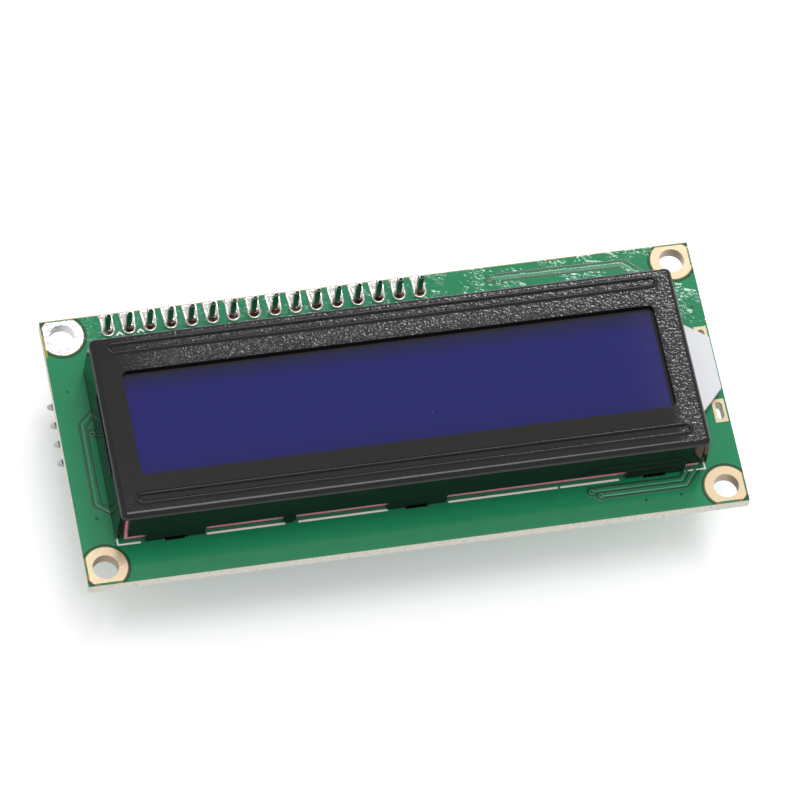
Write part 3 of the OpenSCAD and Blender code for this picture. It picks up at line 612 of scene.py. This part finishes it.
# ---------------------------------------------------------------- the folded bezel
def bezel_shell():
    shell = slab("bezel_shell", (-rim_x, rim_y0, 0), (rim_x, rim_y1, rim_z))
    for side in (-1, 1):
        pick(shell, "VERT", lambda p: p.z < 1 and p.x * side > 0)
        shift((side * WALL_LEAN, 0, 0))
    pick(shell, "FACE", lambda c, n: n.z < -0.5)
    bpy.ops.mesh.delete(type="FACE")
    pick(shell, "EDGE", lambda a, b: max(a.z, b.z) > 1)
    bevel(BEND, 6)
    bpy.ops.object.mode_set(mode="OBJECT")
    modify(shell, "SOLIDIFY", thickness=SHEET * MM, offset=-1, use_even_offset=True)

    # window with round corners
    opening = slab("opening", (-WINDOW[0] / 2, window_y - WINDOW[1] / 2, plate_z - 1),
                   (WINDOW[0] / 2, window_y + WINDOW[1] / 2, rim_z + 1))
    pick(opening, "EDGE", lambda a, b: abs(a.z - b.z) > 1)
    bevel(WINDOW_R, 5)
    bpy.ops.object.mode_set(mode="OBJECT")
    cut(shell, opening)

    # open corners below the folds
    fold_z = rim_z - BEND
    mid_y = (rim_y0 + rim_y1) / 2
    half_y = (rim_y1 - rim_y0) / 2
    for sx in (-1, 1):
        for sy in (-1, 1):
            x0, y0 = sx * (rim_x - 0.85), mid_y + sy * (half_y - 0.8)
            x1, y1 = sx * (rim_x + 2), mid_y + sy * (half_y + 2)
            notch = slab("notch", (min(x0, x1), min(y0, y1), -1), (max(x0, x1), max(y0, y1), fold_z))
            pick(notch, "VERT", lambda p: p.z < 0 and abs(p.x - x0) < 0.01)
            shift((-sx * 0.05, 0, 0))
            pick(notch, "VERT", lambda p: p.z < 0 and abs(p.y - y0) < 0.01)
            shift((0, sy * 0.2, 0))
            bpy.ops.object.mode_set(mode="OBJECT")
            cut(shell, notch)

    # light under the long walls, between the feet
    edges = [-rim_x - 1] + [x + s * FOOT_W / 2 for x in FOOT_X for s in (-1, 1)] + [rim_x + 1]
    for x0, x1 in zip(edges[::2], edges[1::2]):
        for y in (rim_y0, rim_y1):
            gap = slab("gap", (x0, y - 0.8, -1), (x1, y + 0.8, WALL_GAP))
            pick(gap, "EDGE", lambda a, b: min(a.z, b.z) > 1 and abs(a.y - b.y) > 1)
            bevel(0.3, 4)
            bpy.ops.object.mode_set(mode="OBJECT")
            cut(shell, gap)
    for side in (-1, 1):
        cut(shell, slab("gap", (side * rim_x - 1, rim_y0, -1), (side * rim_x + 1, rim_y1, 0.1)))

    # way out for the backlight's tongue, and the slot in the left wall
    tray_high = corners("backlight_tray")[1]
    cut(shell, slab("way", (rim_x - 1, -8.3, -1), (rim_x + 1, 8.0, tray_high.z + 0.15)))
    slot_y0, slot_y1 = window_y + SLOT[0], window_y + SLOT[1]
    slot_z = fold_z - SLOT_H
    cut(shell, slab("way", (-rim_x - 1, slot_y0, slot_z), (-rim_x + 1, slot_y1, fold_z)))

    modify(shell, "BEVEL", width=0.07 * MM, segments=2, limit_method="ANGLE",
           angle_limit=math.radians(50), harden_normals=False)
    parts = [shell]

    # pressed beads: a rounded rim all round a shallow channel
    profile = [(0.27, -0.02), (0.36, 0.06), (0.44, 0.20), (0.52, 0.285), (0.59, BEAD_H),
               (0.66, 0.285), (0.74, 0.20), (0.83, 0.07), (0.93, -0.02)]
    half = rim_x - 1.85 - 0.92
    for side in (-1, 1):
        y = window_y + side * (WINDOW[1] / 2 + BEAD_OFFSET)
        bead = trace("bead", [(-half, y + r, rim_z + z) for r, z in profile])
        for end in (1, -1):
            pull((end * 2 * half, 0, 0))
            bpy.ops.mesh.spin(steps=12, angle=math.pi, axis=(0, 0, 1),
                              center=(end * half * MM, y * MM, rim_z * MM))
        bpy.ops.object.mode_set(mode="OBJECT")
        parts.append(tidy_mesh(bead))

    # tabs through the board, each twisted behind it
    for x in FOOT_X:
        for y in (rim_y0 + SHEET / 2, rim_y1 - SHEET / 2):
            tab = slab("tab", (x - TAB_W / 2, y - SHEET / 2, board_low.z - 0.1),
                       (x + TAB_W / 2, y + SHEET / 2, 0.4))
            pick(tab, "FACE", lambda c, n: n.z < -0.5)
            for _ in range(6):
                pull((0, 0, -1.2 / 6))
                bpy.ops.transform.rotate(value=-math.radians(TAB_TWIST / 6), orient_axis="Z",
                                         center_override=(x * MM, y * MM, 0))
            bpy.ops.object.mode_set(mode="OBJECT")
            parts.append(modify(tab, "BEVEL", width=0.06 * MM, segments=2, limit_method="ANGLE",
                                angle_limit=math.radians(50)))

    # flared lip under the slot
    lip = slab("lip", (-rim_x - 0.05, slot_y0, slot_z - LIP_H), (-rim_x + 0.2, slot_y1, slot_z))
    pick(lip, "VERT", lambda p: p.z > fold_z - 1 and p.x < -rim_x)
    shift((-0.20, 0, 0))
    bpy.ops.object.mode_set(mode="OBJECT")
    parts.append(modify(lip, "BEVEL", width=0.06 * MM, segments=2, limit_method="ANGLE",
                        angle_limit=math.radians(50)))

    # round-ended nib under the edge of the front wall
    nib = slab("nib", (-15.85, rim_y0, 0.01), (-14.35, rim_y0 + SHEET, WALL_GAP + 0.2))
    pick(nib, "EDGE", lambda a, b: max(a.z, b.z) < 1 and abs(a.y - b.y) > 0.3)
    bevel(0.72, 8)
    bpy.ops.object.mode_set(mode="OBJECT")
    parts.append(modify(nib, "BEVEL", width=0.06 * MM, segments=2, limit_method="ANGLE",
                        angle_limit=math.radians(50)))
    whole = joined("bezel_shell", parts)
    return smooth(whole, 40)


finish_piece(bezel_shell(), bezel_black, "bezel_black", "module", "bezel")


# ---------------------------------------------------------------- header pins, pads and solder
def header_pins():
    """Square pins with rounded points; each leans a little to the left."""
    lean = random.Random(7)
    pins = []
    low, high = pins_low.z, pins_high.z
    for x in pin_xs:
        pin = slab("pin", (x - PIN_SIDE / 2, header_y - PIN_SIDE / 2, low + 0.5),
                   (x + PIN_SIDE / 2, header_y + PIN_SIDE / 2, high - 0.5))
        for up in (-1, 1):
            pick(pin, "FACE", lambda c, n: n.z * up > 0.9)
            for rise, size in ((0.22, 0.86), (0.16, 0.78), (0.12, 0.62)):
                pull((0, 0, up * rise))
                bpy.ops.transform.resize(value=(size, size, 1))
        pick(pin, "EDGE", lambda a, b: abs(a.z - b.z) > 2)
        bevel(0.05, 2)
        pick(pin, "VERT", lambda p: p.z > 1)
        shift((-0.20 + lean.uniform(-0.05, 0.05), lean.uniform(-0.04, 0.04), 0))
        bpy.ops.object.mode_set(mode="OBJECT")
        pins.append(pin)
    return smooth(joined("header_pin_set", pins), 40)


def header_pads():
    """Tinned pads with a raised rim and a dished middle; the rear half runs out to the edge."""
    pads = []
    reach = board_high.y - header_y - 0.10
    for i, x in enumerate(pin_xs):
        clear()
        bpy.ops.mesh.primitive_circle_add(vertices=28, radius=0.84 * MM, fill_type="NGON",
                                          location=(x * MM, header_y * MM, COPPER * MM))
        pad = settle(bpy.context.object)
        straight = i in (0, 6, 7, 14, 15)
        pick(pad, "VERT", lambda p: p.y > header_y + 0.3)
        bpy.ops.transform.resize(value=(1.06 if straight else 1.28, 0, 1),
                                 center_override=((x + 0.1) * MM, header_y * MM, 0))
        shift((0, reach, 0))
        bpy.ops.mesh.select_all(action="SELECT")
        bpy.ops.mesh.remove_doubles(threshold=1e-6)
        pull((0, 0, 0.05))
        for inset, rise in ((0.07, 0.05), (0.09, 0.01), (0.10, -0.04)):
            bpy.ops.mesh.inset(thickness=inset * MM, depth=0)
            shift((0, 0, rise))
        bpy.ops.object.mode_set(mode="OBJECT")
        pads.append(tidy_mesh(pad))
    return smooth(joined("header_pad_solder", pads), 50)


def solder_fillets():
    """Solder that climbs each pin, with flux round its foot."""
    fillets = []
    for x in pin_xs:
        fillets.append(turned("fillet", [(0.74, COPPER + 0.04), (0.60, 0.14), (0.50, 0.24), (0.42, 0.42),
                                         (0.38, 0.62), (0.20, 0.66)], (x, header_y, 0), 20))
    return smooth(joined("header_fillets", fillets), 60)


flux = Finish("solder_flux", (0.60, 0.55, 0.51), rough=0.16, metal=1.0)
for_flux = flux.y.ramp(header_y + 0.3, header_y - 0.35)
flux.tint(for_flux * flux.noise(0.9, 2.0).ramp(0.30, 0.55), (0.20, 0.085, 0.055))
flux.tint(flux.noise(2.0, 3.0).ramp(0.5, 0.75) * 0.5, (0.22, 0.19, 0.16))
flux.bump(flux.noise(2.5, 4.0), 0.03)
front_half = pad_solder.y.ramp(header_y + 0.1, header_y - 0.3) * pad_solder.noise(0.45, 1.0).ramp(0.42, 0.55)
pin_dx = (pad_solder.x - (pin_xs[0] - PITCH / 2)).repeat(PITCH) - PITCH / 2
pin_dy = pad_solder.y - (header_y - 0.12)
from_pin = (pin_dx * pin_dx + pin_dy * pin_dy).power(0.5)
pad_solder.tint(from_pin.ramp(0.62, 0.45) * front_half, (0.26, 0.12, 0.085))

# painted shade: the pin body is a dark copy of the tin, standing for the dark board it reflects
pin_metal = Finish("pin_tin_header", (0.24, 0.225, 0.21), rough=0.22, metal=1.0)
pin_metal.tint(pin_metal.noise(1.2, 3.0).ramp(0.5, 0.8) * 0.6, (0.15, 0.135, 0.12))
# painted highlight: the pin tips are near white
pin_metal.tint(pin_metal.z.ramp(3.70, 4.02), (0.90, 0.89, 0.88))
pin_metal.tint(pin_metal.z.ramp(1.4, 0.5) * pin_metal.noise(0.8).ramp(0.35, 0.5), (0.16, 0.085, 0.07))
pin_metal.bump(pin_metal.noise(5.0, 3.0, stretch=(1, 1, 0.25)), 0.012)
finish_piece(header_pins(), pin_metal, "pin_tin", "module", "header_pins")
finish_piece(header_pads(), pad_solder, "solder")
finish_piece(solder_fillets(), flux, "solder", "module", "header_solder")


# ---------------------------------------------------------------- tracks, gaps and ink on the front
FACE = 0.0
gap_lines = [
    [(-35.4, 5.45), (-37.44, 3.63), (-37.57, -7.38), (-35.2, -9.3)],
    [(-35.4, 4.55), (-36.72, 3.10), (-36.69, -7.25), (-35.2, -8.35)],
    [(21.0, -13.5), (32.15, -13.56), (33.0, -12.6)],
    [(21.7, -14.22), (32.6, -14.26), (33.75, -12.6)],
    [(22.4, -15.05), (33.0, -15.02), (34.95, -12.6)],
    [(15.6, 16.56), (31.75, 16.36), (34.6, 13.6)],
    [(16.2, 15.68), (30.9, 15.55), (33.1, 13.4)],
    [(39.56, -7.3), (39.50, -13.0)],
]
rings = [(21.35, -14.05), (22.39, -14.65), (15.05, 16.0), (-36.1, 2.04)]
track_lines = [
    [(-35.4, 5.0), (-37.06, 3.44), (-37.14, -7.31), (-35.2, -8.85)],
    [(21.4, -13.9), (32.36, -13.9), (33.4, -12.6)],
    [(22.4, -14.63), (32.75, -14.63), (34.4, -12.6)],
    [(15.05, 16.1), (31.3, 15.96), (33.9, 13.5)],
]
gaps = [drawn("gap", gap_lines[:-1], 0.36, 0.012, FACE)]
gaps.append(drawn("gap", [ring_line(x, y, 0.52) for x, y in rings], 0.34, 0.012, FACE))
finish_piece(smooth(joined("board_gaps", gaps), 60), gap_green, "board_green")
tracks = [drawn("track", track_lines, 0.42, 0.030, FACE)]
tracks.append(drawn("track", [ring_line(x, y, 0.26) for x, y in rings], 0.22, 0.045, FACE))
finish_piece(smooth(joined("board_tracks", tracks), 60), track_green, "board_green")
vias = [(27.58, -15.99), (31.93, -15.86), (-38.1, 8.01), (-37.49, -9.09), (38.63, 8.86)]
pits = [turned("pit", [(0.0, 0.012), (0.15, 0.012), (0.17, 0.0)], (x, y, 0), 12) for x, y in vias + rings]
# painted shade: dark discs over the vias stand for the shade in their holes
pit_dark = Finish("board_green_pit", (0.004, 0.020, 0.012), rough=0.4)
pit_dark.tint(pit_dark.noise(2.0).ramp(0.4, 0.7) * 0.5, (0.008, 0.035, 0.02))
finish_piece(smooth(joined("board_pits", pits), 60), pit_dark, "board_green")

line_y = -12.85
ink_lines = [
    [(-35.58, -11.9), (-35.58, line_y), (-32.9, line_y)],
    [(-25.0, line_y), (-15.6, line_y)], [(-14.0, line_y), (-3.2, line_y)],
    [(4.1, line_y), (17.4, line_y)], [(17.7, line_y), (24.9, line_y)],
    [(32.9, line_y), (35.47, line_y), (35.47, -11.6)],
    [(-31.0, 14.7), (-30.6, 15.1), (-30.2, 14.7)], [(-28.45, 14.76), (-28.05, 15.16), (-27.65, 14.76)],
]
finish_piece(smooth(drawn("board_ink_lines", ink_lines, 0.27, 0.02, FACE), 60), ink, "board_green")


# ---------------------------------------------------------------- floor, light and camera
FLOOR_SIZE = 6.0
clear()
bpy.ops.mesh.primitive_plane_add(size=FLOOR_SIZE, location=(0, 0, cad_box[0].z))
floor = bpy.context.object
floor.name = "floor"
floor_finish = Finish("floor_paper", (0.97, 0.97, 0.975), rough=0.9, Specular_IOR_Level=0.0,
                      Emission_Color=(1, 1, 1, 1))
seen_direct = floor_finish.tree.nodes.new("ShaderNodeLightPath")
floor_finish.vary("Emission Strength", Amount(floor_finish, seen_direct.outputs["Is Camera Ray"]) * 0.26)
floor_finish.tint(floor_finish.noise(0.01, 2.0).ramp(0.3, 0.8) * 0.3, (0.97, 0.97, 0.97))
floor.data.materials.append(floor_finish.material)


def lamp_at(name, where, size, power):
    """A soft square lamp that looks at the middle of the object."""
    data = bpy.data.lights.new(name, "AREA")
    data.shape = "SQUARE"
    data.size = size
    data.energy = power
    lamp_object = bpy.data.objects.new(name, data)
    lamp_object.location = where
    aim = Vector((0, 0, 0)) - Vector(where)
    lamp_object.rotation_euler = aim.to_track_quat("-Z", "Y").to_euler()
    bpy.context.scene.collection.objects.link(lamp_object)


lamp_at("key", (0.326, 0.613, 0.719), 0.22, 2.6)
lamp_at("overhead", (0.06, 0.10, 1.0), 0.5, 3.0)

world = bpy.data.worlds.new("studio")
bpy.context.scene.world = world
world.use_nodes = True
tree = world.node_tree
back = tree.nodes["Background"]
path = tree.nodes.new("ShaderNodeLightPath")
seen = tree.nodes.new("ShaderNodeMath")
seen.operation = "MAXIMUM"
tree.links.new(path.outputs["Is Camera Ray"], seen.inputs[0])
tree.links.new(path.outputs["Is Transmission Ray"], seen.inputs[1])
level = tree.nodes.new("ShaderNodeMapRange")
level.inputs["To Min"].default_value = 0.62
level.inputs["To Max"].default_value = 1.0
tree.links.new(seen.outputs[0], level.inputs["Value"])
tree.links.new(level.outputs[0], back.inputs["Strength"])
back.inputs["Color"].default_value = (1, 1, 1, 1)

camera_data = bpy.data.cameras.new("camera")
camera_data.lens = 272.37
camera_data.sensor_width = 36.0
camera_data.clip_start = 0.05
camera_data.clip_end = 20
camera = bpy.data.objects.new("camera", camera_data)
right = Vector((0.97689692, -0.19061208, 0.09664077))
up = Vector((0.12466317, 0.87555369, 0.46675993))
behind = Vector((-0.17358427, -0.44392879, 0.87908801))
turn = Matrix((right, up, behind)).transposed().to_4x4()
camera.matrix_world = Matrix.Translation(Vector((-124.323, -319.180, 634.746)) * MM) @ turn
bpy.context.scene.collection.objects.link(camera)
bpy.context.scene.camera = camera
bpy.context.scene.view_settings.view_transform = "Standard"

bpy.context.view_layer.update()
